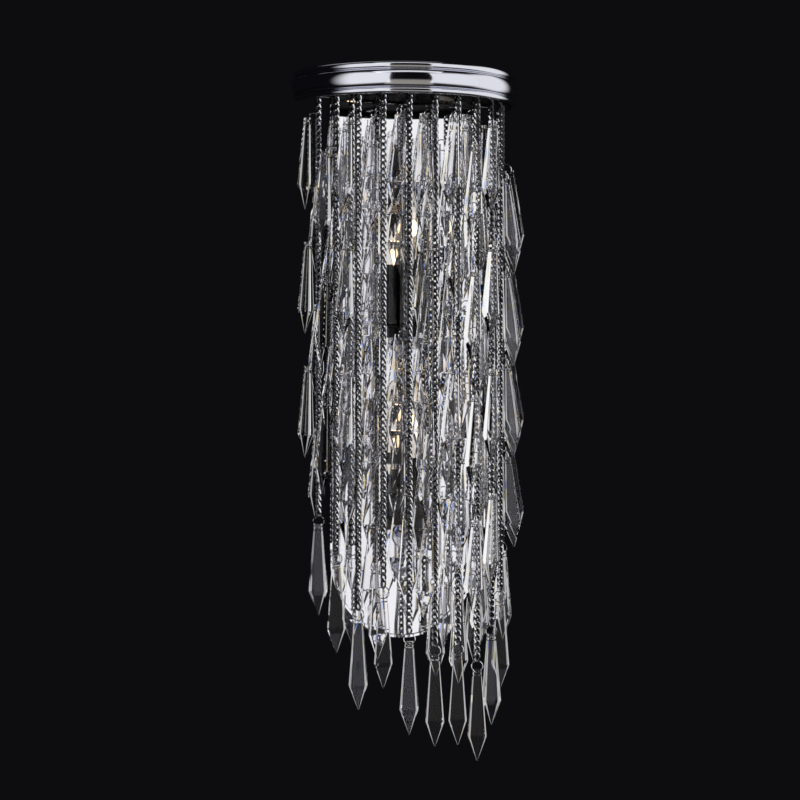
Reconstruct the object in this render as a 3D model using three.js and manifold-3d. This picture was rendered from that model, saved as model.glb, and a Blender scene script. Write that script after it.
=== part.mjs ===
// Crystal wall sconce: a half-round canopy on the wall, a curtain of chains and drops hanging from it
// in two rows, and a mirror plate with two candle lamps behind the curtain.
// Millimetres, +z up. The wall is the plane y = 0 and the object stands out of it towards -y.
// z = 0 is the middle of the canopy's height.
import * as THREE from 'three';
import { mergeVertices } from 'three/addons/utils/BufferGeometryUtils.js';
import Module from 'manifold-3d';

const wasm = await Module();
wasm.setup();

// Fits
const gap = 0.3; // between pieces that touch or seat on each other
const overrun = 4; // how far a cutter passes what it cuts
const sink = 0.5; // how far one piece of a welded part runs into the next

// Canopy: a pressed half-round band of three beads under a flat top
const canopyRadius = 113;
const topBead = 6.6;
const middleBead = 16.9;
const bottomBead = 5.5;
const topBulge = 2.6;
const middleBulge = 4.2;
const bottomBulge = 2.2;
const canopyWall = 1.2;
const canopyFacets = 60;

// Steel bracket screwed to the wall inside the canopy
const bracketEndClearance = 12.6; // from the inside of the canopy
const bracketHeight = 18;
const bracketSheet = 2;
const bracketLip = 16;
const wallScrewSpacing = 160;
const wallScrewShank = 5;
const screwHead = 9;
const screwHeadRise = 2.6;
const screwFacets = 12;
const inletHole = 14;
const inletOffset = 26;

// Canopy screws, through its top into the bracket's lip
const canopyScrewSpacing = 90;
const canopyScrewShank = 3.4;
const canopyScrewHead = 8;
const canopyScrewHeadRise = 2.4;
const canopyScrewLength = 7;

// Hanger plate: the flat half-round plate under the canopy that every chain hooks on
const hangerSheet = 1.5;
const hangerRise = 7; // its underside above the canopy's bottom rim
const hangerBackClearance = 16; // its straight edge off the wall
const hangerMargin = 23; // width of the plate inside the inner row's chains
const lugHeight = 4.1;
const lugWidth = 3.2;
const lugSheet = 1.6;
const postWidth = 8;
const postAngle = 42;
const postScrewShank = 3.4;
const postBoreDepth = 8;
const postScrewHead = 6.8;
const postScrewHeadRise = 2.4;

// Mirror plate: a shallow pressed tray with a half-round lower end
const plateSideClearance = 20; // its sides inside the outer row's radius
const plateDepth = 9;
const plateSheet = 1.2;
const plateTop = -10;
const plateBottom = -522;
const plateRimWidth = 3;
const plateRimRise = 1.1;
const plateArcSteps = 20;

// Rail on the wall behind the mirror plate
const railWidth = 44;
const railSheet = 1.5;
const railTop = -26;
const railBottom = -496;
const railScrewInset = 24;
const railScrewSide = 14;
const spacerWidth = 11;
const plateScrewInset = 60;
const plateScrewShank = 4;

// Lamps: candle sleeves on short arms
const lampReach = 30; // lamp axis off the wall
const upperSleeveTop = -165;
const lampSpacing = 185;
const sleeveDiameter = 26;
const sleeveWall = 1.1;
const sleeveLength = 57;
const holderDiameter = 23;
const holderFlangeSheet = 2;
const holderTopDrop = 7; // socket mouth below the sleeve's top
const holderBaseDiameter = 15;
const holderBaseLength = 13;
const holderInlet = 9;
const socketBore = 14.6;
const socketDepth = 30;
const armDiameter = 8;
const armBore = 5.2;
const armDiscDiameter = 26;
const armDiscSheet = 2;
const armDrop = 8; // arm's centre line below the holder's base
const armEnd = 0.2; // arm's end past its nut
const armNutWidth = 12;
const armNutSheet = 1.9;
const bulbDiameter = 35;
const bulbHeight = 78; // glass above the socket mouth
const bulbNeck = 20;
const bulbCap = 13.6;
const bulbCapLength = 25;
const bulbTipShare = 0.6;
const bulbThreadShare = 0.88;
const lampFacets = 24;

// Terminal block, earth screw and grommet
const blockLength = 30;
const blockDepth = 9;
const blockHeight = 12;
const blockOffset = 52;
const blockWayDiameter = 4;
const blockWays = 3;
const earthOffset = 40;
const earthHeadWidth = 7;
const earthHeadRise = 3;
const grommetFlange = 19;
const grommetFlangeSheet = 1.6;
const grommetBore = 9;

// Internal leads
const leadDiameter = 3;
const leadSides = 8;
const leadRuns = [9, 15]; // how far the upper and lower lead run to the right of the rail's middle
const leadBend = 2.4;
const leadBendShare = 0.45;
const leadFan = 40; // height over which a lead comes across from the terminal block

// Chains: the links are simplified to a flat bar of the chain's width and thickness
const chainWidth = 5.8;
const chainThickness = 3;
const topLinkLength = 5;
const topLinkWidth = 3.6;
const topLinkThickness = 1.2;

// Drops: six-sided prisms with a square neck, wider to the shoulder and then pointed
const dropLength = 85.5;
const dropWidth = 16.8;
const dropThickness = 10;
const neckWidth = 7.8;
const neckLength = 6;
const collarWidth = 8.4; // under the neck
const shoulderShare = 0.73;
const ringBar = 1.7;
const ringDrop = 3; // where the ring goes through the neck, below the neck's top
const endLink = 4; // from the last chain link to the end drop's neck

// Curtain: an outer row of twelve strands and an inner row of seven, each with its drops on its left
const outerInset = 9.6; // the outer row's chains from the inside of the canopy
const rowClearance = 1; // between the drops of the two rows
const outerSpacing = 23.9;
const innerSpacing = 27.34;
const rowEnd = 12; // least angle between the wall and a row's last chain
const innerRowEnd = 26;
const outerLongest = 631;
const innerLongest = 562;
const outerTipShares = [0.786, 0.84, 0.92, 0.887, 0.954, 0.973, 0.973, 1, 0.951, 0.902, 0.832, 0.8];
const innerTipShares = [0.93, 0.955, 0.865, 0.985, 1, 0.965, 0.93];
const outerStartShares = [0.05, 0.62, 0.12, 0.5, 0, 0.55, 0.08, 0.52, 0.1, 0.22, 0.05, 0.3];
const innerStartShares = [0.2, 0.1, 0.55, 0.05, 0.52, 0.15, 0.58];
const dropPitch = 58;
const firstDrop = 14; // neck of the highest drop below the canopy's rim, before its strand's start share
const columnLayer = 6; // side drops hang in two layers, this far out and in
const columnNeckSide = 8; // from the chain's centre to the necks of its side drops
const columnLean = 3.6;
const tipRun = 20; // how far a side drop's tip may pass the top of an end drop beside it
const rimPitch = 88;
const rimSide = 1.7;
const rimReach = 7;
const rimLean = 5;
const rimStrands = [9, 10, 11]; // these carry drops edgewise outside the chain
const singleLayer = 0; // the inner strand nearest the wall on the left has its drops in one layer
const [outerOpen, innerOpen] = [4, 2]; // these strands have no drops in front of the upper lamp's sleeve
const openLap = 10; // how far past the sleeve's top a drop may reach, or above its holder's bottom start

// Colours
const chrome = { color: 0xd9dce2, roughness: 0.08, metalness: 1 };
const mirror = { color: 0xe8e9ee, roughness: 0.03, metalness: 1 };
const zinc = { color: 0xa9adb3, roughness: 0.35, metalness: 1 };
const darkSleeve = { color: 0x2a2826, roughness: 0.25, metalness: 0.6 };
const holderPlastic = { color: 0x3a3733, roughness: 0.5, metalness: 0 };
const lampGlass = { color: 0xffe2b8, roughness: 0.1, metalness: 0 };
const crystal = { color: 0xe6eaf2, roughness: 0.03, metalness: 0 };
const whitePlastic = { color: 0xe9e7df, roughness: 0.5, metalness: 0 };
const rubber = { color: 0x1d1d1f, roughness: 0.8, metalness: 0 };
const leadBrown = { color: 0x6b4a35, roughness: 0.55, metalness: 0 };

const sides = [-1, 1];
const half = 0.5;
const degrees = THREE.MathUtils.degToRad;

// A row of strands: as many as the tables name, or fewer where the half circle has no room for them
function row(radius, spacing, end, longest, tipShares, startShares) {
  const step = 2 * Math.asin((spacing * half) / radius);
  const room = 1 + Math.floor((Math.PI - 2 * degrees(end)) / step);
  const count = Math.min(room, tipShares.length);
  const angles = tipShares.slice(0, count).map((share, i) => (i - (count - 1) * half) * step);
  return { radius, longest, tipShares, startShares, angles };
}

// Heights and radii that the pieces share
const canopyTop = (topBead + middleBead + bottomBead) / 2;
const canopyBottom = -canopyTop;
const canopyRoot = canopyRadius - middleBulge;
const canopyInside = canopyRoot - canopyWall;
const canopyCeiling = canopyTop - canopyWall;
const bracketFront = -bracketSheet - gap;
const canopyScrewY = -bracketSheet - bracketLip / 2;
const hangerBottom = canopyBottom + hangerRise;
const hangerTop = hangerBottom + hangerSheet;
const lugBottom = hangerBottom - lugHeight;
const strandTop = lugBottom - sink;
const railFront = -railSheet - gap;
const outerRadius = canopyInside - outerInset;
const plateHalfWidth = outerRadius - plateSideClearance;
const innerRadius = outerRadius - 2 * columnLayer - dropThickness - rowClearance;
const postRadius = (outerRadius + innerRadius) * half;
const outerRow = row(outerRadius, outerSpacing, rowEnd, outerLongest, outerTipShares, outerStartShares);
const innerRow = row(innerRadius, innerSpacing, innerRowEnd, innerLongest, innerTipShares, innerStartShares);
const plateBack = -plateDepth + plateSheet;

const model = new THREE.Group();

function add(name, geometry, finish, parent = model) {
  const mesh = new THREE.Mesh(geometry, new THREE.MeshStandardMaterial(finish));
  mesh.name = name;
  parent.add(mesh);
  return mesh;
}

// A closed geometry as a solid, turned right side out if its faces point inwards
function solid(geometry) {
  const bare = geometry.clone();
  bare.deleteAttribute('normal');
  bare.deleteAttribute('uv');
  const merged = mergeVertices(bare);
  const vertProperties = new Float32Array(merged.attributes.position.array);
  const triVerts = new Uint32Array(merged.index.array);
  const p = (i) => new THREE.Vector3().fromArray(vertProperties, triVerts[i] * 3);
  let volume = 0;
  for (let i = 0; i < triVerts.length; i += 3) volume += p(i).dot(p(i + 1).cross(p(i + 2)));
  if (volume < 0) {
    for (let i = 0; i < triVerts.length; i += 3) {
      [triVerts[i + 1], triVerts[i + 2]] = [triVerts[i + 2], triVerts[i + 1]];
    }
  }
  return new wasm.Manifold(new wasm.Mesh({ numProp: 3, vertProperties, triVerts }));
}

function toGeometry(body) {
  const mesh = body.getMesh();
  const geometry = new THREE.BufferGeometry();
  geometry.setAttribute('position', new THREE.BufferAttribute(new Float32Array(mesh.vertProperties), 3));
  geometry.setIndex(new THREE.BufferAttribute(new Uint32Array(mesh.triVerts), 1));
  return geometry;
}

function join(geometries) {
  return toGeometry(geometries.map(solid).reduce((whole, piece) => whole.add(piece)));
}

function cut(geometry, cutters) {
  return toGeometry(cutters.map(solid).reduce((rest, cutter) => rest.subtract(cutter), solid(geometry)));
}

function keepInside(geometry, limit) {
  return toGeometry(solid(geometry).intersect(solid(limit)));
}

// Box given by its lowest and highest corners
function block(x0, x1, y0, y1, z0, z1) {
  const geometry = new THREE.BoxGeometry(x1 - x0, y1 - y0, z1 - z0);
  return geometry.translate((x0 + x1) * half, (y0 + y1) * half, (z0 + z1) * half);
}

// Round or many-sided bar along z, from z0 to z1
function barZ(diameter, z0, z1, sides = lampFacets) {
  const geometry = new THREE.CylinderGeometry(diameter * half, diameter * half, z1 - z0, sides);
  return geometry.rotateX(Math.PI * half).translate(0, 0, (z0 + z1) * half);
}

// The same along y, from y0 to y1
function barY(diameter, y0, y1, sides = lampFacets) {
  const geometry = new THREE.CylinderGeometry(diameter * half, diameter * half, y1 - y0, sides);
  return geometry.translate(0, (y0 + y1) * half, 0);
}

// Solid of revolution about z from [radius, height] pairs
function turned(profile, facets) {
  const points = profile.map(([radius, height]) => new THREE.Vector2(radius, height));
  return new THREE.LatheGeometry(points, facets).rotateX(Math.PI * half);
}

// Moved out from the centre of the wall line and swung round by an angle from straight out
function outFromWall(geometry, radius, angle) {
  return geometry.translate(0, -radius, 0).rotateZ(angle);
}

// Canopy
function beadPoints(z0, z1, bulge, steps) {
  const points = [];
  for (let k = 0; k < steps; k += 1) {
    const a = (Math.PI * k) / steps;
    points.push([canopyRoot + bulge * Math.sin(a), z0 + ((z1 - z0) * (1 - Math.cos(a))) / 2]);
  }
  return points;
}

function canopyShell() {
  const groove1 = canopyBottom + bottomBead;
  const groove2 = groove1 + middleBead;
  const outside = [
    [0, canopyBottom],
    ...beadPoints(canopyBottom, groove1, bottomBulge, 4),
    ...beadPoints(groove1, groove2, middleBulge, 8),
    ...beadPoints(groove2, canopyTop, topBulge, 5),
    [canopyRoot, canopyTop],
    [0, canopyTop],
  ];
  const inside = [
    [0, canopyBottom - overrun],
    [canopyInside, canopyBottom - overrun],
    [canopyInside, canopyCeiling],
    [0, canopyCeiling],
  ];
  const reach = canopyRadius + overrun;
  const room = block(-reach, reach, -reach, 0, canopyBottom - overrun, canopyTop + overrun);
  const holes = sides.map((side) => {
    const hole = barZ(canopyScrewShank + 2 * gap, canopyCeiling - overrun, canopyTop + overrun, screwFacets);
    return hole.translate(side * canopyScrewSpacing * half, canopyScrewY, 0);
  });
  return cut(keepInside(turned(outside, canopyFacets), room), [turned(inside, canopyFacets), ...holes]);
}

// Bracket
function wallBracket() {
  const reach = canopyInside - bracketEndClearance;
  const top = canopyCeiling - gap;
  const back = block(-reach, reach, -bracketSheet, 0, -bracketHeight * half, top);
  const lip = block(-reach, reach, -bracketLip - bracketSheet, 0, top - bracketSheet, top);
  const holes = [barY(inletHole, -bracketSheet - overrun, overrun).translate(inletOffset, 0, 0)];
  for (const side of sides) {
    const wallHole = barY(wallScrewShank + 2 * gap, -bracketSheet - overrun, overrun, screwFacets);
    holes.push(wallHole.translate(side * wallScrewSpacing * half, 0, 0));
    const lipHole = barZ(canopyScrewShank + 2 * gap, top - bracketSheet - overrun, top + overrun, screwFacets);
    holes.push(lipHole.translate(side * canopyScrewSpacing * half, canopyScrewY, 0));
  }
  return cut(join([back, lip]), holes);
}

// Screw whose head seats at y = seat and whose shank runs on towards the wall
function screwY(shank, head, rise, seat, length) {
  return join([
    barY(head, seat - rise, seat, screwFacets),
    barY(shank, seat - sink, seat + length, screwFacets),
  ]);
}

add('wall_bracket', wallBracket(), zinc);
add('canopy', canopyShell(), chrome);

sides.forEach((side, index) => {
  const name = ['left', 'right'][index];
  const wallScrew = screwY(wallScrewShank, screwHead, screwHeadRise, bracketFront, bracketSheet);
  add(`wall_screw_${name}`, wallScrew, zinc).position.x = side * wallScrewSpacing * half;

  const seat = canopyTop + gap;
  const canopyScrew = join([
    barZ(canopyScrewShank, seat - canopyScrewLength, seat + sink, screwFacets),
    barZ(canopyScrewHead, seat, seat + canopyScrewHeadRise, screwFacets),
  ]);
  const placed = add(`canopy_screw_${name}`, canopyScrew, chrome);
  placed.position.set(side * canopyScrewSpacing * half, canopyScrewY, 0);
});

function inletGrommet() {
  const inside = grommetBore * half;
  const neck = inletHole * half - gap;
  const flange = grommetFlange * half;
  const face = -bracketFront + grommetFlangeSheet;
  const outline = [[inside, 0], [neck, 0], [neck, -bracketFront], [flange, -bracketFront]];
  return turned([...outline, [flange, face], [inside, face], [inside, 0]], lampFacets).rotateX(Math.PI * half);
}
add('inlet_grommet', join([inletGrommet()]), rubber).position.x = inletOffset;

const blockBottom = hangerTop + gap;
const blockWayY = bracketFront - blockDepth * half;
const blockWayPitch = blockLength / blockWays;

function terminalBlock() {
  const reach = blockLength * half;
  const top = blockBottom + blockHeight;
  const body = block(-reach, reach, bracketFront - blockDepth, bracketFront, blockBottom, top);
  const ways = [];
  for (let k = 0; k < blockWays; k += 1) {
    const way = barZ(blockWayDiameter, blockBottom - overrun, top + overrun, screwFacets);
    ways.push(way.translate(blockWayPitch * (k + half) - reach, blockWayY, 0));
  }
  return cut(body, ways);
}
add('terminal_block', terminalBlock(), whitePlastic).position.x = blockOffset;

const earthHead = barY(earthHeadWidth, bracketFront - earthHeadRise, bracketFront, 6);
add('earth_screw', join([earthHead]), zinc).position.x = -earthOffset;

// Hanger plate with one lug for each strand, held under the canopy's top by three posts
const postAngles = [-postAngle, 0, postAngle].map(degrees);

function hangerPlate() {
  const radius = canopyInside - 2 * gap;
  const reach = radius + overrun;
  const below = hangerBottom - overrun;
  const above = hangerTop + overrun;
  const disc = barZ(2 * radius, hangerBottom, hangerTop, canopyFacets);
  const room = block(-reach, reach, -reach, -hangerBackClearance, below, above);
  const holes = postAngles.map((angle) => {
    return outFromWall(barZ(postScrewShank + 2 * gap, below, above, screwFacets), postRadius, angle);
  });
  const window = barZ(2 * (innerRadius - hangerMargin), below, above, canopyFacets);
  const sheet = cut(keepInside(disc, room), [window, ...holes]);
  const lugs = [];
  for (const { radius: out, angles } of [outerRow, innerRow]) {
    for (const angle of angles) {
      const [x, y] = [lugWidth * half, lugSheet * half];
      lugs.push(outFromWall(block(-x, x, -y, y, lugBottom, hangerBottom + sink), out, angle));
    }
  }
  return join([sheet, ...lugs]);
}
add('hanger_plate', hangerPlate(), zinc);

postAngles.forEach((angle, index) => {
  const name = ['left', 'centre', 'right'][index];
  const top = canopyCeiling - gap;
  const post = barZ(postWidth, hangerTop + gap, top, 6);
  const bore = barZ(postScrewShank + 2 * gap, hangerTop - overrun, hangerTop + postBoreDepth, screwFacets);
  add(`hanger_post_${name}`, outFromWall(cut(post, [bore]), postRadius, angle), zinc);
  const seat = hangerBottom - gap;
  const screw = join([
    barZ(postScrewShank, seat - sink, hangerTop + postBoreDepth - gap, screwFacets),
    barZ(postScrewHead, seat - postScrewHeadRise, seat, screwFacets),
  ]);
  add(`hanger_screw_${name}`, outFromWall(screw, postRadius, angle), zinc);
});

// Mirror plate: outline of the tray, drawn in by a given width on its sides and lower end
function plateOutline(inset, top) {
  const radius = plateHalfWidth - inset;
  const centre = plateBottom + plateHalfWidth;
  const shape = new THREE.Shape();
  shape.moveTo(radius, top);
  shape.lineTo(-radius, top);
  for (let k = 0; k <= plateArcSteps; k += 1) {
    const a = Math.PI * (1 + k / plateArcSteps);
    shape.lineTo(radius * Math.cos(a), centre + radius * Math.sin(a));
  }
  return shape;
}

// A shape drawn in x and z, made solid from y0 to y1
function panel(shape, y0, y1) {
  const geometry = new THREE.ExtrudeGeometry(shape, { depth: y1 - y0, bevelEnabled: false });
  return geometry.rotateX(Math.PI * half).translate(0, y1, 0);
}

const armHeights = [0, 1].map((k) => upperSleeveTop - k * lampSpacing - sleeveLength - holderBaseLength - armDrop);
const plateScrewHeights = [plateTop - plateScrewInset, plateBottom + plateScrewInset];

function mirrorPlate() {
  const rimFront = -plateDepth - plateRimRise;
  const whole = panel(plateOutline(0, plateTop), rimFront, -gap);
  const hollow = panel(plateOutline(plateSheet, plateTop + overrun), plateBack, overrun);
  const face = panel(plateOutline(plateRimWidth, plateTop + overrun), rimFront - overrun, -plateDepth);
  const armHoles = armHeights.map((z) => {
    return barY(armDiameter + 2 * gap, -plateDepth - overrun, 0, screwFacets).translate(0, 0, z);
  });
  const screwHoles = plateScrewHeights.map((z) => {
    return barY(plateScrewShank + 2 * gap, -plateDepth - overrun, 0, screwFacets).translate(0, 0, z);
  });
  return cut(whole, [hollow, face, ...armHoles, ...screwHoles]);
}
add('mirror_plate', mirrorPlate(), mirror);

// Rail, its screws, and what holds the plate on it
const railScrewHeights = [railTop - railScrewInset, railBottom + railScrewInset];

function backRail() {
  const strip = block(-railWidth * half, railWidth * half, -railSheet, 0, railBottom, railTop);
  const holes = railScrewHeights.map((z) => {
    return barY(wallScrewShank + 2 * gap, -overrun, overrun, screwFacets).translate(-railScrewSide, 0, z);
  });
  for (const z of plateScrewHeights) {
    holes.push(barY(plateScrewShank + 2 * gap, -overrun, overrun, screwFacets).translate(0, 0, z));
  }
  return cut(strip, holes);
}
add('back_rail', backRail(), zinc);

['upper', 'lower'].forEach((name, index) => {
  const railScrew = screwY(wallScrewShank, screwHead, screwHeadRise, railFront, railSheet);
  add(`rail_screw_${name}`, railScrew, zinc).position.set(-railScrewSide, 0, railScrewHeights[index]);

  const spacer = barY(spacerWidth, plateBack + gap, railFront, 6);
  const bore = barY(plateScrewShank + 2 * gap, plateBack - overrun, overrun, screwFacets);
  add(`plate_spacer_${name}`, cut(spacer, [bore]), zinc).position.z = plateScrewHeights[index];

  const seat = -plateDepth - gap;
  const plateScrew = screwY(plateScrewShank, screwHead, screwHeadRise, seat, plateDepth - gap);
  add(`plate_screw_${name}`, plateScrew, chrome).position.z = plateScrewHeights[index];
});

// Lamp pieces, drawn about the lamp's axis with z = 0 at the top of its sleeve
const holderBottom = -sleeveLength - holderBaseLength;

function sleeve() {
  const outside = sleeveDiameter * half;
  const inside = outside - sleeveWall;
  const outline = [[inside, -sleeveLength], [outside, -sleeveLength], [outside, 0], [inside, 0]];
  return join([turned([...outline, outline[0]], lampFacets)]);
}

function lampholder() {
  const mouth = -holderTopDrop;
  const seat = -sleeveLength - gap;
  return join([turned([
    [0, mouth - socketDepth],
    [socketBore * half, mouth - socketDepth],
    [socketBore * half, mouth],
    [holderDiameter * half, mouth],
    [holderDiameter * half, seat],
    [sleeveDiameter * half, seat],
    [sleeveDiameter * half, seat - holderFlangeSheet],
    [holderBaseDiameter * half, seat - holderFlangeSheet],
    [holderBaseDiameter * half, holderBottom],
    [armBore * half, holderBottom],
    [armBore * half, holderBottom + holderInlet],
    [0, holderBottom + holderInlet],
  ], lampFacets)]);
}

// Glass outline as shares of the bulb's height and radius above the socket
const bulbShares = [[0.09, 0.6], [0.27, 0.86], [0.45, 1], [0.6, 0.97], [0.78, 0.74], [0.93, 0.37], [0.99, 0.12]];

function bulb() {
  const mouth = -holderTopDrop;
  const seat = mouth + gap;
  const glass = bulbShares.map(([up, out]) => [out * bulbDiameter * half, mouth + up * bulbHeight]);
  return join([turned([
    [0, mouth - bulbCapLength],
    [bulbCap * half * bulbTipShare, mouth - bulbCapLength],
    [bulbCap * half, mouth - bulbCapLength * bulbThreadShare],
    [bulbCap * half, seat],
    [bulbNeck * half, seat],
    ...glass,
    [0, mouth + bulbHeight],
  ], lampFacets)]);
}

function lampArm(z) {
  const top = z + armDrop - gap;
  const back = plateBack + gap + armNutSheet + armEnd;
  const disc = barY(armDiscDiameter, -plateDepth - gap - armDiscSheet, -plateDepth - gap);
  const across = barY(armDiameter, -lampReach - armDiameter * half, back, screwFacets);
  const up = barZ(armDiameter, z - armDiameter * half, top, screwFacets).translate(0, -lampReach, 0);
  const acrossBore = barY(armBore, -lampReach, overrun, screwFacets);
  const upBore = barZ(armBore, z, top + overrun, screwFacets).translate(0, -lampReach, 0);
  return cut(join([disc.translate(0, 0, z), across.translate(0, 0, z), up]), [acrossBore.translate(0, 0, z), upBore]);
}

// Round lead along corner points, its rings square to the way on at each of them
function lead(points) {
  const vectors = points.map((point) => new THREE.Vector3(...point));
  const positions = [];
  const sideways = new THREE.Vector3(1, 0, 0);
  vectors.forEach((point, i) => {
    const before = vectors[Math.max(i - 1, 0)];
    const after = vectors[Math.min(i + 1, vectors.length - 1)];
    const inWay = point.clone().sub(before).normalize();
    const onWay = after.clone().sub(point).normalize();
    const way = inWay.add(onWay).normalize();
    const u = sideways.clone().addScaledVector(way, -sideways.dot(way)).normalize();
    const v = new THREE.Vector3().crossVectors(way, u);
    for (let k = 0; k < leadSides; k += 1) {
      const a = (2 * Math.PI * k) / leadSides;
      const corner = point.clone();
      corner.addScaledVector(u, leadDiameter * half * Math.cos(a));
      corner.addScaledVector(v, leadDiameter * half * Math.sin(a));
      positions.push(...corner.toArray());
    }
  });
  const faces = [];
  for (let k = 0; k < leadSides; k += 1) {
    const next = (k + 1) % leadSides;
    for (let i = 0; i + 1 < vectors.length; i += 1) {
      const [a, b] = [i * leadSides + k, i * leadSides + next];
      faces.push(a, b, b + leadSides, a, b + leadSides, a + leadSides);
    }
    if (k > 1) {
      const last = (vectors.length - 1) * leadSides;
      faces.push(0, k, k - 1, last, last + k - 1, last + k);
    }
  }
  const geometry = new THREE.BufferGeometry();
  geometry.setAttribute('position', new THREE.BufferAttribute(new Float32Array(positions), 3));
  geometry.setIndex(faces);
  return join([geometry]);
}

function lampLead(index) {
  const z = armHeights[index];
  const run = leadRuns[index];
  const start = blockOffset + blockWayPitch * (index - 1);
  const behind = railFront - leadDiameter * half;
  return lead([
    [start, blockWayY, blockBottom + blockHeight * half],
    [start, blockWayY, blockBottom - gap],
    [start, (blockWayY + 2 * behind) / 3, plateTop],
    [run, behind, plateTop - leadFan],
    [run, behind, z + run + 2 * leadBend],
    [0, behind, z + leadBend],
    [0, behind - leadBend * leadBendShare, z],
    [0, -lampReach + leadBend, z],
    [0, -lampReach, z + leadBend],
    [0, -lampReach, z + armDrop + holderInlet - 2 * gap],
  ]);
}

['upper', 'lower'].forEach((name, index) => {
  const top = upperSleeveTop - index * lampSpacing;
  const z = armHeights[index];
  const arm = add(`lamp_arm_${name}`, lampArm(z), chrome);
  const nutFront = plateBack + gap;
  const nutBore = barY(armDiameter + 2 * gap, -plateDepth - overrun, overrun, screwFacets);
  const nut = cut(barY(armNutWidth, nutFront, nutFront + armNutSheet, 6), [nutBore]);
  add(`arm_nut_${name}`, nut, zinc).position.z = z;
  const pieces = [
    [`lampholder_${name}`, lampholder(), holderPlastic],
    [`candle_sleeve_${name}`, sleeve(), darkSleeve],
    [`bulb_${name}`, bulb(), lampGlass],
  ];
  for (const [pieceName, geometry, finish] of pieces) {
    add(pieceName, geometry, finish).position.set(0, -lampReach, top);
  }
  add(`lamp_lead_${name}`, lampLead(index), leadBrown);
});

// One drop, its neck's top at the origin and its broad faces square to y
function drop() {
  const outline = [
    [0, 0],
    [neckWidth * half, 0],
    [collarWidth * half, -neckLength],
    [dropWidth * half, -dropLength * shoulderShare],
    [0, -dropLength],
  ];
  const flatShare = dropThickness / (dropWidth * Math.sin(degrees(60)));
  return turned(outline, 6).rotateZ(Math.PI * half).scale(1, flatShare, 1);
}

// Heights of the necks in one column, down to the last drop whose tip stays above the limit
function neckHeights(first, pitch, limit) {
  const heights = [];
  for (let z = first; z - dropLength > limit; z -= pitch) heights.push(z);
  return heights;
}

// Heights between which the open strands have no drop
const openTop = upperSleeveTop - openLap;
const openBottom = upperSleeveTop + holderBottom + openLap;

// Strand in its own frame: x to its right, y towards the wall and the chain's centre line at x = y = 0
function strand(place, index) {
  const endTop = (i) => -place.longest * place.tipShares[i] + dropLength;
  const end = endTop(index);
  const chainBottom = end + endLink;
  const chainTop = strandTop - topLinkLength;
  const [x, y] = [chainWidth * half, chainThickness * half];
  const [linkX, linkY] = [topLinkWidth * half, topLinkThickness * half];
  const bar = ringBar * half;
  const pieces = [
    block(-linkX, linkX, -linkY, linkY, chainTop - sink, strandTop),
    block(-x, x, -y, y, chainBottom, chainTop),
    block(-bar, bar, -bar, bar, end - ringDrop, chainBottom + sink),
    drop().translate(0, 0, end),
  ];
  const limit = Math.max(end, endTop(Math.max(index - 1, 0))) - tipRun;
  const first = canopyBottom - firstDrop - place.startShares[index] * dropPitch;
  const edgewise = place === outerRow && rimStrands.includes(index);
  const alone = place === innerRow && index === singleLayer;
  const pitch = edgewise || alone ? rimPitch : dropPitch;
  const heights = neckHeights(first, pitch, limit);
  // A strand that starts low has one more drop above, in its other layer
  const above = pitch === dropPitch && place.startShares[index] >= half ? 1 : 0;
  if (above) heights.unshift(first + dropPitch * half);
  const open = index === (place === outerRow ? outerOpen : innerOpen);
  heights.forEach((z, k) => {
    if (open && z - dropLength < openTop && z > openBottom) return;
    const outside = (place === outerRow) === ((k + above) % 2 === 0);
    let layer = outside ? -columnLayer : columnLayer;
    if (edgewise) layer = columnLayer;
    if (alone) layer = 0;
    pieces.push(drop().rotateY(degrees(columnLean)).translate(-columnNeckSide, layer, z));
    const ringZ = z - ringDrop;
    const [y0, y1] = layer < 0 ? [layer + bar, -bar] : [-bar, Math.max(layer - bar, bar)];
    pieces.push(block(-columnNeckSide + bar, -bar, y0, y1, ringZ - bar, ringZ + bar));
  });
  if (edgewise) {
    for (const z of neckHeights(first - rimPitch * half, rimPitch, end - tipRun)) {
      const edge = drop().rotateZ(Math.PI * half).rotateX(-degrees(rimLean));
      pieces.push(edge.translate(-rimSide, -rimReach, z));
      const ringZ = z - ringDrop;
      pieces.push(block(-rimSide - bar, -rimSide + bar, -rimReach + bar, -bar, ringZ - bar, ringZ + bar));
    }
  }
  return join(pieces);
}

for (const [name, place] of [['outer', outerRow], ['inner', innerRow]]) {
  place.angles.forEach((angle, index) => {
    const label = `${name}_strand_${String(index + 1).padStart(2, '0')}`;
    add(label, outFromWall(strand(place, index), place.radius, angle), crystal);
  });
}

export default model;
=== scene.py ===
import math
import random
import bpy
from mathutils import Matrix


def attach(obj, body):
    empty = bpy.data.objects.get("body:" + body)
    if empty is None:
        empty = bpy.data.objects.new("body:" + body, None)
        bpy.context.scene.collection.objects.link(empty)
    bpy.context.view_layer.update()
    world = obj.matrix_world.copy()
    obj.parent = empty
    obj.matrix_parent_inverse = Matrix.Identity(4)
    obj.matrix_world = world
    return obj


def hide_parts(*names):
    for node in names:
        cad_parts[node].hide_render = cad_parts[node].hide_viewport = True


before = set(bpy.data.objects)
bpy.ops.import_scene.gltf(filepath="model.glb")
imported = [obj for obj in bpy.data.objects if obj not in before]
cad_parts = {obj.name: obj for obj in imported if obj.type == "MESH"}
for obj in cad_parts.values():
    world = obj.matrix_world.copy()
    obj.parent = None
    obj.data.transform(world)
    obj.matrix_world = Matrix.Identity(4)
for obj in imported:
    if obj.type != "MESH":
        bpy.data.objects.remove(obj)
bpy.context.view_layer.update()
random.seed(7)

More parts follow.
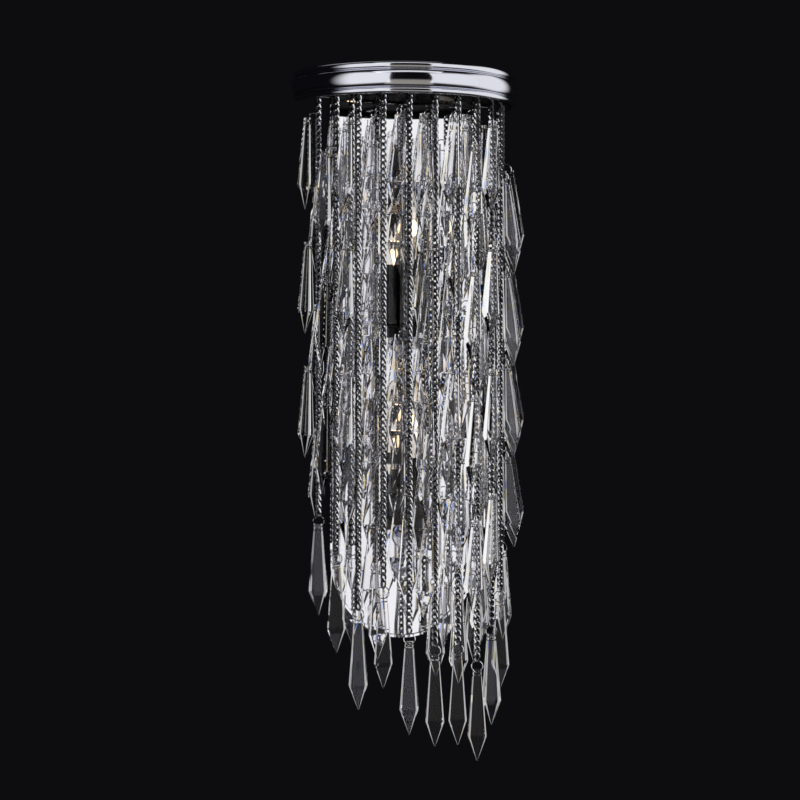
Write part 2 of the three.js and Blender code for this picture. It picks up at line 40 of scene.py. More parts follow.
# Wall bracket, back rail and hanger plate
# Bent and stamped sheet steel, zinc plated, with the plated screws, spacers and nuts that hold them. The
# hanger plate, whose underside shows under the canopy, is coloured black as painted shade. The solids
# themselves are shown.
marks = bpy.data.node_groups.new("faint_marks", "ShaderNodeTree")
for name, way, kind in (
    ("Colour", "INPUT", "NodeSocketColor"), ("Scale", "INPUT", "NodeSocketFloat"),
    ("Least", "INPUT", "NodeSocketFloat"), ("Most", "INPUT", "NodeSocketFloat"),
    ("Mottle", "INPUT", "NodeSocketFloat"), ("Colour", "OUTPUT", "NodeSocketColor"),
    ("Roughness", "OUTPUT", "NodeSocketFloat"),
):
    marks.interface.new_socket(name=name, in_out=way, socket_type=kind)
marks_in = marks.nodes.new("NodeGroupInput")
marks_out = marks.nodes.new("NodeGroupOutput")
marks_coords = marks.nodes.new("ShaderNodeTexCoord")
marks_noise = marks.nodes.new("ShaderNodeTexNoise")
marks_noise.inputs["Detail"].default_value = 4.0
marks_gloss = marks.nodes.new("ShaderNodeMapRange")
marks_gloss.inputs["From Min"].default_value = 0.3
marks_gloss.inputs["From Max"].default_value = 0.7
marks_shade = marks.nodes.new("ShaderNodeMix")
marks_shade.data_type = "RGBA"
marks_shade.blend_type = "OVERLAY"
for source, socket in (
    (marks_coords.outputs["Object"], marks_noise.inputs["Vector"]),
    (marks_in.outputs["Scale"], marks_noise.inputs["Scale"]),
    (marks_noise.outputs["Fac"], marks_gloss.inputs["Value"]),
    (marks_in.outputs["Least"], marks_gloss.inputs["To Min"]),
    (marks_in.outputs["Most"], marks_gloss.inputs["To Max"]),
    (marks_gloss.outputs["Result"], marks_out.inputs["Roughness"]),
    (marks_in.outputs["Mottle"], marks_shade.inputs["Factor"]),
    (marks_in.outputs["Colour"], marks_shade.inputs["A"]),
    (marks_noise.outputs["Fac"], marks_shade.inputs["B"]),
    (marks_shade.outputs["Result"], marks_out.inputs["Colour"]),
):
    marks.links.new(source, socket)


def marked(name, colour, scale, least, most, mottle, metal=0.0):
    finish = bpy.data.materials.new(name)
    finish.use_nodes = True
    shader = finish.node_tree.nodes["Principled BSDF"]
    shader.inputs["Metallic"].default_value = metal
    group = finish.node_tree.nodes.new("ShaderNodeGroup")
    group.node_tree = marks
    group.inputs["Colour"].default_value = colour
    group.inputs["Scale"].default_value = scale
    group.inputs["Least"].default_value = least
    group.inputs["Most"].default_value = most
    group.inputs["Mottle"].default_value = mottle
    finish.node_tree.links.new(group.outputs["Colour"], shader.inputs["Base Color"])
    finish.node_tree.links.new(group.outputs["Roughness"], shader.inputs["Roughness"])
    return finish


def finish_nodes(finish, *starts):
    for node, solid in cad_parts.items():
        if node.startswith(starts):
            solid.data.materials.clear()
            solid.data.materials.append(finish)


zinc = marked("zinc", (0.34, 0.34, 0.35, 1), 90, 0.16, 0.30, 0.5, metal=1.0)
finish_nodes(zinc, "wall_", "back_rail", "rail_screw", "plate_spacer", "arm_nut")
finish_nodes(zinc, "hanger_post", "hanger_screw")
# Painted shade: a near-black finish for the hanger plate and the canopy's inside, which stand in shade.
painted_shade_black = marked("painted_shade_black", (0.012, 0.012, 0.013, 1), 60, 0.70, 0.90, 0.3)
painted_shade_black.node_tree.nodes["Principled BSDF"].inputs["Specular IOR Level"].default_value = 0.12
finish_nodes(painted_shade_black, "hanger_plate")

# Wiring
# The rubber grommet where the supply comes in, the plastic terminal block with its earth screw, and the two
# sheathed lamp leads.
finish_nodes(marked("rubber", (0.016, 0.016, 0.017, 1), 140, 0.65, 0.85, 0.4), "inlet_grommet")
finish_nodes(marked("terminal_plastic", (0.76, 0.75, 0.70, 1), 70, 0.38, 0.50, 0.10), "terminal_block")
finish_nodes(marked("lead_sheath", (0.11, 0.060, 0.038, 1), 120, 0.45, 0.58, 0.25), "lamp_lead")
finish_nodes(zinc, "earth_screw")

# Canopy
# A half-round chromed pressing: three beads one under the other, drawn as a profile and spun round
# half a turn, under a flat top, with its inside wall a sheet's thickness in and coloured black as painted
# shade.
chrome = marked("chrome", (0.71, 0.72, 0.79, 1), 25, 0.06, 0.11, 0.04, metal=1.0)
canopy_root, canopy_inside = 0.1088, 0.1076
canopy_bottom, canopy_ceiling, canopy_top = -0.0145, 0.0133, 0.0145
profile = [(canopy_inside, canopy_bottom), (canopy_root, canopy_bottom)]
for low, high, bulge, steps in [
    (canopy_bottom, -0.0090, 0.0022, 8), (-0.0090, 0.0079, 0.0042, 16), (0.0079, canopy_top, 0.0026, 10),
]:
    for k in range(1, steps + 1):
        a = math.pi * k / steps
        profile.append((
            canopy_root + bulge * math.sin(a),
            low + (high - low) * (1 - math.cos(a)) / 2,
        ))
profile += [
    (0.0002, canopy_top), (0.0002, canopy_ceiling),
    (canopy_inside, canopy_ceiling), (canopy_inside, canopy_bottom),
]
bpy.ops.mesh.primitive_plane_add(size=0.001)
canopy = bpy.context.object
canopy.name = "canopy_pressing"
bpy.ops.object.mode_set(mode="EDIT")
bpy.ops.mesh.select_all(action="SELECT")
bpy.ops.mesh.merge(type="CENTER")
bpy.ops.transform.translate(value=(profile[0][0], 0, profile[0][1]))
for (r0, z0), (r1, z1) in zip(profile, profile[1:]):
    bpy.ops.mesh.extrude_region_move(TRANSFORM_OT_translate={"value": (r1 - r0, 0, z1 - z0)})
bpy.ops.mesh.select_all(action="SELECT")
bpy.ops.mesh.spin(steps=96, angle=math.pi, center=(0, 0, 0), axis=(0, 0, 1))
bpy.ops.mesh.select_all(action="SELECT")
bpy.ops.mesh.remove_doubles(threshold=0.00001)
bpy.ops.mesh.normals_make_consistent(inside=False)
bpy.ops.object.mode_set(mode="OBJECT")
bpy.ops.object.shade_smooth_by_angle(angle=math.radians(40))
canopy.data.materials.append(chrome)
canopy.data.materials.append(painted_shade_black)
# Painted shade: the canopy's inside ceiling and inside wall take the near-black finish.
for polygon in canopy.data.polygons:
    across = math.hypot(polygon.center.x, polygon.center.y)
    if polygon.center.z < canopy_ceiling + 0.0001 and across < canopy_inside + 0.00005:
        polygon.material_index = 1
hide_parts("canopy")
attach(canopy, "mount_frame")
finish_nodes(chrome, "canopy_screw")

# Mirror plate
# A shallow polished tray: a half disc drawn upwards, its front inset to a thin raised rim with a
# rounded lip, and its back hollowed.
mirror = marked("mirror", (0.86, 0.86, 0.89, 1), 14, 0.015, 0.045, 0.03, metal=1.0)
plate_half_width, plate_depth, plate_front, plate_back = 0.078, 0.0098, -0.0101, -0.0003
plate_centre, plate_straight = -0.444, 0.434


def pick_faces(shape, wanted):
    bpy.ops.object.mode_set(mode="EDIT")
    bpy.ops.mesh.select_all(action="DESELECT")
    bpy.ops.object.mode_set(mode="OBJECT")
    for face in shape.data.polygons:
        face.select = wanted(face)
    bpy.ops.object.mode_set(mode="EDIT")


bpy.ops.mesh.primitive_cylinder_add(vertices=128, radius=plate_half_width, depth=plate_depth,
                                    location=(0, plate_front + plate_depth / 2, plate_centre),
                                    rotation=(math.pi / 2, 0, 0))
plate = bpy.context.object
plate.name = "plate_tray"
bpy.ops.object.transform_apply(location=True, rotation=True, scale=True)
bpy.ops.object.mode_set(mode="EDIT")
bpy.ops.mesh.select_all(action="SELECT")
bpy.ops.mesh.bisect(plane_co=(0, 0, plate_centre), plane_no=(0, 0, 1), clear_outer=True, use_fill=True)
bpy.ops.mesh.extrude_region_move(TRANSFORM_OT_translate={"value": (0, 0, plate_straight)})
bpy.ops.object.mode_set(mode="OBJECT")
pick_faces(plate, lambda face: face.center.y < plate_front + 0.0001)
bpy.ops.mesh.dissolve_limited(angle_limit=math.radians(1))
bpy.ops.mesh.inset(thickness=0.0006, depth=0.0)
bpy.ops.mesh.inset(thickness=0.0016, depth=0.0)
bpy.ops.mesh.inset(thickness=0.0008, depth=-0.0011)
bpy.ops.object.mode_set(mode="OBJECT")
pick_faces(plate, lambda face: face.center.y > plate_back - 0.0001)
bpy.ops.mesh.dissolve_limited(angle_limit=math.radians(1))
bpy.ops.mesh.inset(thickness=0.0012, depth=0.0)
bpy.ops.mesh.extrude_region_move(TRANSFORM_OT_translate={"value": (0, -0.0075, 0)})
bpy.ops.mesh.select_all(action="SELECT")
bpy.ops.mesh.normals_make_consistent(inside=False)
bpy.ops.object.mode_set(mode="OBJECT")
bpy.ops.object.shade_smooth_by_angle(angle=math.radians(30))
plate.data.materials.append(mirror)
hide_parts("mirror_plate")
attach(plate, "mount_frame")
finish_nodes(chrome, "plate_screw")

# Lamps
# Glossy black candle sleeves, chromed arms, and lit candle bulbs: a warm envelope turned from a circle
# over a bright screw cap.
sleeve_black = marked("sleeve_black", (0.012, 0.010, 0.009, 1), 40, 0.10, 0.16, 0.2)
sleeve_black.node_tree.nodes["Principled BSDF"].inputs["IOR"].default_value = 1.8
bulb_glass = bpy.data.materials.new("bulb_glass")
bulb_glass.use_nodes = True
bulb_shader = bulb_glass.node_tree.nodes["Principled BSDF"]
bulb_shader.inputs["Base Color"].default_value = (1.0, 0.97, 0.92, 1)
bulb_shader.inputs["Roughness"].default_value = 0.0
bulb_shader.inputs["IOR"].default_value = 1.45
bulb_shader.inputs["Transmission Weight"].default_value = 1.0
filament_glow = bpy.data.materials.new("filament_glow")
filament_glow.use_nodes = True
filament_shader = filament_glow.node_tree.nodes["Principled BSDF"]
filament_shader.inputs["Base Color"].default_value = (1.0, 0.86, 0.62, 1)
filament_shader.inputs["Emission Color"].default_value = (1.0, 0.78, 0.50, 1)
filament_shader.inputs["Emission Strength"].default_value = 2.6
cap_nickel = marked("cap_nickel", (0.68, 0.66, 0.60, 1), 110, 0.20, 0.34, 0.2, metal=1.0)

sleeve_radius, sleeve_height, lamp_y = 0.013, 0.057, -0.030
for name, top in (("upper", -0.165), ("lower", -0.350)):
    bpy.ops.mesh.primitive_cylinder_add(vertices=64, radius=sleeve_radius, depth=sleeve_height,
                                        end_fill_type="NOTHING",
                                        location=(0, lamp_y, top - sleeve_height / 2))
    sleeve = bpy.context.object
    sleeve.name = f"sleeve_{name}"
    bpy.ops.object.transform_apply(location=True, rotation=True, scale=True)
    wall = sleeve.modifiers.new("wall", "SOLIDIFY")
    wall.thickness = 0.0011
    wall.offset = -1
    bpy.ops.object.modifier_apply(modifier="wall")
    rims = sleeve.modifiers.new("rims", "BEVEL")
    rims.width = 0.0004
    rims.segments = 2
    rims.angle_limit = math.radians(60)
    bpy.ops.object.modifier_apply(modifier="rims")
    bpy.ops.object.shade_smooth_by_angle(angle=math.radians(40))
    sleeve.data.materials.append(sleeve_black)
    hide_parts(f"candle_sleeve_{name}")
    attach(sleeve, "mount_frame")

    for piece, radius, base, material, stations in (
        ("bulb_cap", 0.0040, top - 0.032, cap_nickel, [
            (0.003, 0.0067), (0.0010, 0.0063), (0.0020, 0.0067), (0.0010, 0.0063), (0.0020, 0.0067),
            (0.0010, 0.0063), (0.0020, 0.0067), (0.0133, 0.0067), (0.0, 0.0064),
        ]),
        ("bulb_envelope", 0.0062, top - 0.0067, bulb_glass, [
            (0.0, 0.0098), (0.0067, 0.0105), (0.0070, 0.0127), (0.0071, 0.0150), (0.0070, 0.0166),
            (0.0070, 0.0174), (0.0060, 0.0174), (0.0057, 0.0169), (0.0070, 0.0152), (0.0071, 0.0129),
            (0.0060, 0.0097), (0.0057, 0.0064), (0.0040, 0.0024), (0.0009, 0.0004),
        ]),
    ):
        bpy.ops.mesh.primitive_circle_add(vertices=40, radius=radius, fill_type="NGON",
                                          location=(0, lamp_y, base))
        turned = bpy.context.object
        turned.name = f"{piece}_{name}"
        bpy.ops.object.transform_apply(location=True, rotation=True, scale=True)
        bpy.ops.object.mode_set(mode="EDIT")
        bpy.ops.mesh.select_all(action="SELECT")
        for rise, wanted in stations:
            bpy.ops.mesh.extrude_region_move(TRANSFORM_OT_translate={"value": (0, 0, rise)})
            bpy.ops.transform.resize(value=(wanted / radius, wanted / radius, 1))
            radius = wanted
        bpy.ops.mesh.select_all(action="SELECT")
        bpy.ops.mesh.normals_make_consistent(inside=False)
        bpy.ops.object.mode_set(mode="OBJECT")
        if piece == "bulb_envelope":
            wall = turned.modifiers.new("wall", "SOLIDIFY")
            wall.thickness = 0.0006
            wall.offset = -1
            bpy.ops.object.modifier_apply(modifier="wall")
        bpy.ops.object.shade_smooth_by_angle(angle=math.radians(50))
        turned.data.materials.append(material)
        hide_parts(f"bulb_{name}")
        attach(turned, f"bulb_{name}")
    bpy.ops.mesh.primitive_torus_add(major_segments=24, minor_segments=8, major_radius=0.0021,
                                     minor_radius=0.0018, location=(0, lamp_y, top + 0.033),
                                     rotation=(math.pi / 2, 0, 0))
    filament = bpy.context.object
    filament.name = f"filament_{name}"
    bpy.ops.object.transform_apply(location=True, rotation=True, scale=True)
    bpy.ops.object.mode_set(mode="EDIT")
    bpy.ops.mesh.select_all(action="SELECT")
    bpy.ops.transform.resize(value=(0.9, 1, 2.0))
    bpy.ops.object.mode_set(mode="OBJECT")
    bpy.ops.object.shade_smooth_by_angle(angle=math.radians(60))
    filament.data.materials.append(filament_glow)
    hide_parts(f"bulb_{name}")
    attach(filament, f"bulb_{name}")
finish_nodes(chrome, "lamp_arm")
finish_nodes(marked("holder_plastic", (0.012, 0.011, 0.011, 1), 80, 0.30, 0.42, 0.3), "lampholder")

# Curtain
# One drop, one chain link and one ring are modelled and copied. A drop is an octagon drawn out from its
# pierced neck to a wide shoulder and a point. The curb links are drawn-out, twisted steel rings, with painted
# shade on their inner faces.
crystal = bpy.data.materials.new("crystal")
crystal.use_nodes = True
crystal_nodes = crystal.node_tree.nodes
crystal_shader = crystal_nodes["Principled BSDF"]
crystal_shader.inputs["Roughness"].default_value = 0.0
crystal_shader.inputs["IOR"].default_value = 1.55
crystal_shader.inputs["Transmission Weight"].default_value = 1.0
crystal_shader.inputs["Specular Tint"].default_value = (0.48, 0.48, 0.53, 1)
# Painted glints: a few scattered cells of the crystal's tint turn blue, yellow or orange, standing in for the
# rainbow colours that the glass splits light into.
painted_glint_coords = crystal_nodes.new("ShaderNodeTexCoord")
painted_glint_place = crystal_nodes.new("ShaderNodeMapping")
painted_glint_place.inputs["Scale"].default_value = (380, 380, 60)
painted_glint_cells = crystal_nodes.new("ShaderNodeTexVoronoi")
painted_glint_cells.inputs["Scale"].default_value = 1.0
painted_glint_pick = crystal_nodes.new("ShaderNodeSeparateColor")
painted_glint_few = crystal_nodes.new("ShaderNodeMath")
painted_glint_few.operation = "GREATER_THAN"
painted_glint_few.inputs[1].default_value = 0.955
painted_glint_hue = crystal_nodes.new("ShaderNodeValToRGB")
painted_glint_hue.color_ramp.elements[0].color = (0.10, 0.24, 1.0, 1)
painted_glint_hue.color_ramp.elements[1].color = (1.0, 0.72, 0.38, 1)
painted_glint_hue.color_ramp.elements[0].position = 0.22
painted_glint_hue.color_ramp.elements[1].position = 0.75
middle = painted_glint_hue.color_ramp.elements.new(0.46)
middle.color = (1.0, 0.92, 0.55, 1)
painted_glint_mix = crystal_nodes.new("ShaderNodeMix")
painted_glint_mix.data_type = "RGBA"
painted_glint_mix.inputs["A"].default_value = (0.98, 0.98, 1.0, 1)
for source, socket in (
    (painted_glint_coords.outputs["Object"], painted_glint_place.inputs["Vector"]),
    (painted_glint_place.outputs["Vector"], painted_glint_cells.inputs["Vector"]),
    (painted_glint_cells.outputs["Color"], painted_glint_pick.inputs["Color"]),
    (painted_glint_pick.outputs["Red"], painted_glint_few.inputs[0]),
    (painted_glint_cells.outputs["Distance"], painted_glint_hue.inputs["Fac"]),
    (painted_glint_few.outputs["Value"], painted_glint_mix.inputs["Factor"]),
    (painted_glint_hue.outputs["Color"], painted_glint_mix.inputs["B"]),
    (painted_glint_mix.outputs["Result"], crystal_shader.inputs["Base Color"]),
):
    crystal.node_tree.links.new(source, socket)
chain_steel = marked("chain_steel", (0.80, 0.80, 0.83, 1), 300, 0.03, 0.08, 0.1, metal=1.0)
# The second chain finish is painted shade: a dark steel for the faces round each link's hole.
chain_painted_shade = marked("chain_painted_shade", (0.09, 0.09, 0.10, 1), 300, 0.20, 0.40, 0.1, metal=1.0)

drop_width, drop_length, neck_hole = 0.0168, 0.0855, 0.003
bpy.ops.mesh.primitive_plane_add(size=drop_width)
drop_model = bpy.context.object
bpy.ops.object.mode_set(mode="EDIT")
bpy.ops.mesh.select_all(action="SELECT")
bpy.ops.transform.resize(value=(1, 0.59, 1))
bpy.ops.mesh.bevel(offset=0.0014, affect="VERTICES")
bpy.ops.mesh.select_all(action="SELECT")
bpy.ops.transform.resize(value=(0.464, 0.464, 1))
for fall, widen in [
    (0.0054, 1.0), (0.0003, 0.90), (0.0006, 1.20), (0.0560, 1.99), (0.0232, 0.03),
]:
    bpy.ops.mesh.extrude_region_move(TRANSFORM_OT_translate={"value": (0, 0, -fall)})
    bpy.ops.transform.resize(value=(widen, widen, 1))
bpy.ops.mesh.select_all(action="SELECT")
bpy.ops.mesh.normals_make_consistent(inside=False)
bpy.ops.object.mode_set(mode="OBJECT")
drop_model.data.materials.append(crystal)
bpy.ops.mesh.primitive_cylinder_add(vertices=6, radius=0.0013, depth=0.02, location=(0, 0, -neck_hole),
                                    rotation=(math.pi / 2, 0, 0))
hole = bpy.context.object
cut = drop_model.modifiers.new("hole", "BOOLEAN")
cut.operation = "DIFFERENCE"
cut.object = hole
bpy.ops.object.select_all(action="DESELECT")
drop_model.select_set(True)
bpy.context.view_layer.objects.active = drop_model
bpy.ops.object.modifier_apply(modifier="hole")
bpy.data.objects.remove(hole)

link_pitch = 0.0058
bpy.ops.mesh.primitive_torus_add(major_segments=12, minor_segments=5, major_radius=0.00215,
                                 minor_radius=0.00105, rotation=(math.pi / 2, 0, 0))
link_model = bpy.context.object
link_model.data.materials.append(chain_steel)
link_model.data.materials.append(chain_painted_shade)
bpy.ops.object.transform_apply(location=True, rotation=True, scale=True)
# Painted shade: the faces round each link's hole take the dark steel.
for polygon in link_model.data.polygons:
    if math.hypot(polygon.center.x, polygon.center.z) < 0.0022:
        polygon.material_index = 1
for side in (-1, 1):
    bpy.ops.object.mode_set(mode="EDIT")
    bpy.ops.mesh.select_all(action="DESELECT")
    bpy.ops.object.mode_set(mode="OBJECT")
    for vertex in link_model.data.vertices:
        vertex.select = vertex.co.z * side > 0.0008
    bpy.ops.object.mode_set(mode="EDIT")
    bpy.ops.transform.translate(value=(0, 0, side * 0.0018))
    bpy.ops.object.mode_set(mode="OBJECT")
twist = link_model.modifiers.new("twist", "SIMPLE_DEFORM")
twist.deform_method = "TWIST"
twist.deform_axis = "Z"
twist.angle = math.radians(-90)
bpy.ops.object.modifier_apply(modifier="twist")
bpy.ops.object.shade_flat()

ring_radius = 0.0054
bpy.ops.mesh.primitive_torus_add(major_segments=16, minor_segments=4, major_radius=ring_radius,
                                 minor_radius=0.0005, rotation=(math.pi / 2, 0, 0))
ring_model = bpy.context.object
ring_model.data.materials.append(chain_steel)
bpy.ops.object.transform_apply(location=True, rotation=True, scale=True)
bpy.ops.object.shade_smooth_by_angle(angle=math.radians(80))

chain_top, highest_neck = -0.0165, -0.0285
near_pitch, wide_pitch, least_gap = 0.058, 0.088, 0.020
beside, layer_depth, room_side = -0.008, 0.006, -26
outer_tips = [0.496, 0.530, 0.5805, 0.5597, 0.602, 0.614, 0.614, 0.631, 0.6001, 0.5692, 0.525, 0.5048]
inner_tips = [0.5227, 0.5367, 0.4861, 0.5536, 0.562, 0.5423, 0.5227]
outer_starts = [0.05, 0.62, 0.12, 0.5, 0, 0.55, 0.08, 0.52, 0.1, 0.22, 0.05, 0.3]
inner_starts = [0.2, 0.1, 0.55, 0.05, 0.52, 0.15, 0.58]
for row, radius, step, tips, starts in (
    ("outer", 0.098, 2 * math.asin(0.01195 / 0.098), outer_tips, outer_starts),
    ("inner", 0.075, 2 * math.asin(0.01367 / 0.075), inner_tips, inner_starts),
):
    for index, tip in enumerate(tips):
        angle = (index - (len(tips) - 1) / 2) * step
        end = drop_length - tip
        before = drop_length - tips[max(index - 1, 0)]
        edgewise = row == "outer" and index in (9, 10, 11)
        straight = edgewise or row == "outer" and index in (0, 1)
        alone = row == "inner" and index == 0
        opened = index == (4 if row == "outer" else 2)
        facing = 0.8 * max(-75, min(75, room_side - math.degrees(angle)))
        places = [(0.0, 0.0, end, 0.0, 0.0, facing + random.uniform(-12, 12))]
        first = highest_neck - starts[index] * near_pitch
        pitch = wide_pitch if edgewise or alone else near_pitch
        inside = 0
        neck = first
        if pitch == near_pitch and starts[index] >= 0.5:
            inside = 1
            neck = first + near_pitch / 2
        while neck - drop_length > max(end, before) - least_gap:
            layer = -layer_depth if (row == "outer") == (inside % 2 == 0) else layer_depth
            if edgewise:
                layer = layer_depth
            if alone:
                layer = 0.0
            lean = 3.6 + random.uniform(-0.7, 0.7)
            loose = 0 if straight else random.uniform(0, 0.8)
            if not (opened and neck - drop_length < -0.175 and neck > -0.225):
                places.append((beside, layer, neck, lean, 0.0, loose * facing + random.uniform(-10, 10)))
            neck = first if neck > first else neck - pitch
            inside += 1
        neck = first - wide_pitch / 2
        while edgewise and neck - drop_length > end - least_gap:
            places.append((-0.0017, -0.007, neck, 0.0, -5.0, 90 + random.uniform(-6, 6)))
            neck -= wide_pitch

        made = []
        rings = []
        for x, y, z, lean, out, turn in places:
            drop = drop_model.copy()
            drop.data = drop_model.data.copy()
            bpy.context.collection.objects.link(drop)
            drop.rotation_mode = "ZYX"
            drop.rotation_euler = (math.radians(out), math.radians(lean), math.radians(turn))
            drop.location = (x, y, z)
            made.append(drop)
            ring = ring_model.copy()
            ring.data = ring_model.data.copy()
            bpy.context.collection.objects.link(ring)
            if x == 0:
                ring.location = (0, 0, z + ring_radius - neck_hole)
                ring.rotation_euler = (0, 0, math.radians(turn))
            else:
                across = math.hypot(x, y)
                rise = math.sqrt(max(0, (2 * ring_radius) ** 2 - across ** 2))
                ring.location = (x / 2, y / 2, z - neck_hole + rise / 2)
                ring.rotation_euler = (0, 0, math.atan2(y, x))
            rings.append(ring)

        chain = link_model.copy()
        chain.data = link_model.data.copy()
        bpy.context.collection.objects.link(chain)
        chain.location = (0, 0, chain_top)
        chain.rotation_euler = (0, 0, math.radians(0.7 * facing))
        span = chain_top - (end + 0.0063 + 0.0044)
        count = round(span / link_pitch)
        links = chain.modifiers.new("links", "ARRAY")
        links.use_relative_offset = False
        links.use_constant_offset = True
        links.constant_offset_displace = (0, 0, -span / count)
        links.count = count + 1
        bpy.ops.object.select_all(action="DESELECT")
        chain.select_set(True)
        bpy.context.view_layer.objects.active = chain
        bpy.ops.object.modifier_apply(modifier="links")
        for ring in rings:
            ring.select_set(True)
        bpy.ops.object.join()
        chain.name = f"{row}_chain_{index + 1:02d}"
        bpy.ops.object.select_all(action="DESELECT")
        for drop in made:
            drop.select_set(True)
        bpy.context.view_layer.objects.active = made[0]
        bpy.ops.object.join()
        drops = bpy.context.object
        drops.name = f"{row}_drops_{index + 1:02d}"
        for piece, slot in ((chain, "chrome"), (drops, "crystal")):
            bpy.ops.object.select_all(action="DESELECT")
            piece.select_set(True)
            bpy.context.view_layer.objects.active = piece
            bpy.ops.object.transform_apply(location=True, rotation=True, scale=True)
            piece.location = (radius * math.sin(angle), -radius * math.cos(angle), 0)
            piece.rotation_mode = "XYZ"
            piece.rotation_euler = (0, 0, angle)
            bpy.ops.object.transform_apply(location=True, rotation=True, scale=True)
            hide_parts(f"{row}_strand_{index + 1:02d}")
            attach(piece, f"{row}_strand_{index + 1:02d}")
for model in (drop_model, link_model, ring_model):
    bpy.data.objects.remove(model)

# Stage
# A plain floor below the picture and a dark surround. Large soft lamps stand left and right, one hangs above,
# a dim warm card lies below, two narrow ones behind light the edges of the crystals, and three light the back
# and the canopy's top alone.
bpy.ops.mesh.primitive_plane_add(size=10, location=(0, 0, -2.0))
floor = bpy.context.object
floor.name = "floor"
floor_paint = bpy.data.materials.new("floor_paint")
floor_paint.use_nodes = True
floor_nodes = floor_paint.node_tree.nodes
floor_shader = floor_nodes["Principled BSDF"]
floor_shader.inputs["Roughness"].default_value = 0.7
floor_path = floor_nodes.new("ShaderNodeLightPath")
floor_dark = floor_nodes.new("ShaderNodeMath")
floor_dark.operation = "MAXIMUM"
floor_tone = floor_nodes.new("ShaderNodeMix")
floor_tone.data_type = "RGBA"
floor_tone.inputs["A"].default_value = (0.56, 0.54, 0.50, 1)
floor_tone.inputs["B"].default_value = (0.010, 0.010, 0.011, 1)
floor_paint.node_tree.links.new(floor_path.outputs["Is Glossy Ray"], floor_dark.inputs[0])
floor_paint.node_tree.links.new(floor_path.outputs["Is Transmission Ray"], floor_dark.inputs[1])
floor_paint.node_tree.links.new(floor_dark.outputs[0], floor_tone.inputs["Factor"])
floor_paint.node_tree.links.new(floor_tone.outputs["Result"], floor_shader.inputs["Base Color"])
floor.data.materials.append(floor_paint)

world = bpy.data.worlds.new("surround")
bpy.context.scene.world = world
world.use_nodes = True
world_nodes = world.node_tree.nodes
ground = world_nodes["Background"]
path = world_nodes.new("ShaderNodeLightPath")
seen = world_nodes.new("ShaderNodeMath")
seen.operation = "MAXIMUM"
seen_too = world_nodes.new("ShaderNodeMath")
seen_too.operation = "MAXIMUM"
tone = world_nodes.new("ShaderNodeMix")
tone.data_type = "RGBA"
tone.inputs["A"].default_value = (0.2, 0.2, 0.2, 1)
tone.inputs["B"].default_value = (0.0040, 0.0040, 0.0050, 1)
world.node_tree.links.new(path.outputs["Is Camera Ray"], seen.inputs[0])
world.node_tree.links.new(path.outputs["Is Glossy Ray"], seen.inputs[1])
world.node_tree.links.new(seen.outputs[0], seen_too.inputs[0])
world.node_tree.links.new(path.outputs["Is Transmission Ray"], seen_too.inputs[1])
world.node_tree.links.new(seen_too.outputs[0], tone.inputs["Factor"])
world.node_tree.links.new(tone.outputs["Result"], ground.inputs["Color"])

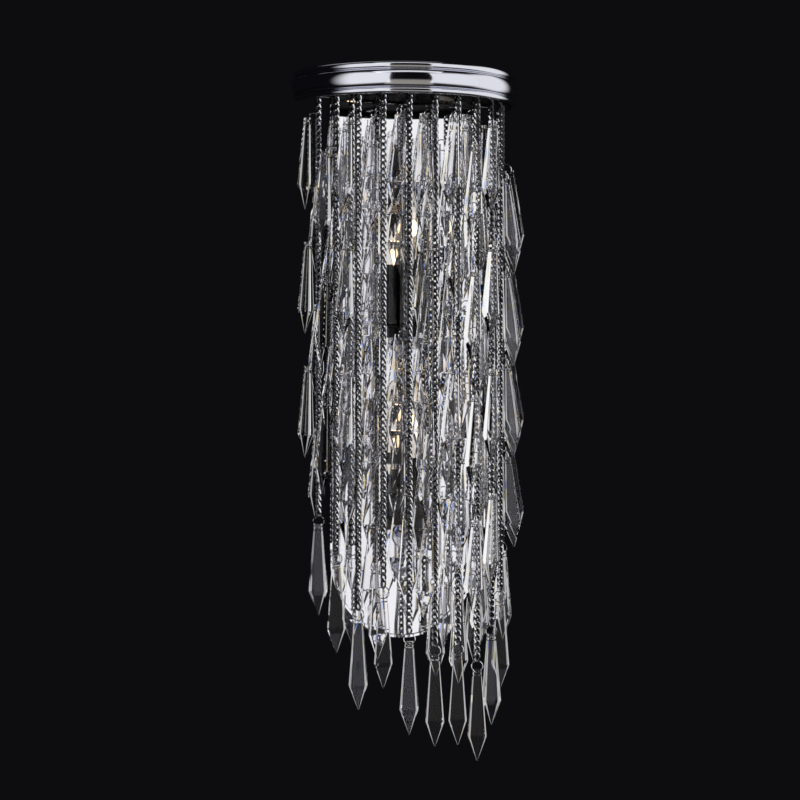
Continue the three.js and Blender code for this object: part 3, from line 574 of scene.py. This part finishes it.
back_parts = bpy.data.collections.new("back_parts")
back_parts.objects.link(plate)
top_parts = bpy.data.collections.new("top_parts")
top_parts.objects.link(canopy)
for node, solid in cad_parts.items():
    if node.startswith(("wall_", "back_rail", "rail_screw", "plate_", "arm_nut")):
        back_parts.objects.link(solid)
    if node.startswith(("inlet_", "terminal_", "lamp_lead")):
        back_parts.objects.link(solid)
    if node.startswith("canopy_screw"):
        top_parts.objects.link(solid)
for name, azimuth, distance, height, tip, wide, tall, fade, radiance, colour in (
    ("soft_left", -66, 2.2, 0.3, 0, 2.6, 4.8, "low", 1.02, (1, 1, 1)),
    ("soft_right", 30, 2.6, 0.3, 0, 2.5, 4.8, "none", 1.0, (1, 1, 1)),
    ("soft_side", 82.2, 2.4, 0.3, 0, 2.4, 4.8, "high", 0.98, (1, 1, 1)),
    ("soft_above", -16, 1.6, 2.0, 52, 2.6, 1.0, "none", 1.0, (1, 1, 1)),
    ("card_below", -16, 1.4, -0.80, -30, 1.2, 1.7, "none", 0.34, (1, 0.93, 0.82)),
    ("edge_right", 118, 2.4, 0.0, 0, 0.9, 4.5, "none", 0.44, (1, 1, 1)),
    ("edge_left", 188, 2.4, 0.0, 0, 0.9, 4.5, "none", 0.44, (1, 1, 1)),
    ("fill_behind", 152, 2.6, 0.5, 8, 5.0, 4.6, "none", 0.34, (1, 1, 1)),
    ("fill_beside", 242, 2.6, 0.5, 8, 2.0, 4.6, "none", 0.34, (1, 1, 1)),
    ("fill_top", 180, 1.3, 2.6, 63, 2.6, 1.6, "none", 0.40, (1, 1, 1)),
):
    lamp = bpy.data.lights.new(name, "AREA")
    lamp.shape = "RECTANGLE"
    lamp.size = wide
    lamp.size_y = tall
    lamp.energy = radiance * math.pi * wide * tall
    lamp.color = colour
    lamp.use_nodes = True
    cloth = lamp.node_tree.nodes
    glow = next(node for node in cloth if node.type == "EMISSION")
    place = cloth.new("ShaderNodeNewGeometry")
    sides = cloth.new("ShaderNodeSeparateXYZ")
    halves = cloth.new("ShaderNodeMath")
    halves.operation = "PINGPONG"
    halves.inputs[1].default_value = 0.5
    upright = cloth.new("ShaderNodeMapRange")
    upright.interpolation_type = "SMOOTHSTEP"
    upright.inputs["From Max"].default_value = 0.26
    across = cloth.new("ShaderNodeMapRange")
    across.interpolation_type = "SMOOTHSTEP"
    across.inputs["From Min"].default_value = {"low": 0.0, "high": 1.0, "none": -2.0}[fade]
    across.inputs["From Max"].default_value = {"low": 0.40, "high": 0.60, "none": -1.0}[fade]
    both = cloth.new("ShaderNodeMath")
    both.operation = "MULTIPLY"
    for source, socket in (
        (place.outputs["Parametric"], sides.inputs["Vector"]),
        (sides.outputs["Y"], halves.inputs[0]),
        (halves.outputs["Value"], upright.inputs["Value"]),
        (sides.outputs["X"], across.inputs["Value"]),
        (upright.outputs["Result"], both.inputs[0]),
        (across.outputs["Result"], both.inputs[1]),
        (both.outputs["Value"], glow.inputs["Strength"]),
    ):
        lamp.node_tree.links.new(source, socket)
    holder = bpy.data.objects.new(name, lamp)
    bpy.context.collection.objects.link(holder)
    holder.visible_camera = False
    holder.visible_glossy = not name.startswith("edge")
    holder.visible_transmission = not name.startswith("fill")
    if name in ("fill_behind", "fill_beside"):
        holder.light_linking.receiver_collection = back_parts
    if name == "fill_top":
        holder.light_linking.receiver_collection = top_parts
    a = math.radians(azimuth)
    holder.location = (distance * math.sin(a), -distance * math.cos(a), height)
    holder.rotation_euler = (math.radians(90 - tip), 0, a)

# Camera
# Level, turned to the object's left, a little over two metres off.
camera = bpy.data.cameras.new("camera")
camera.lens = 103.5
camera.sensor_width = 36
view = bpy.data.objects.new("camera", camera)
bpy.context.collection.objects.link(view)
turn = math.radians(-26)
view.location = (2.208 * math.sin(turn), -2.208 * math.cos(turn), -0.295)
view.rotation_euler = (math.pi / 2, 0, turn)
bpy.context.scene.camera = view
bpy.context.scene.view_settings.view_transform = "Standard"
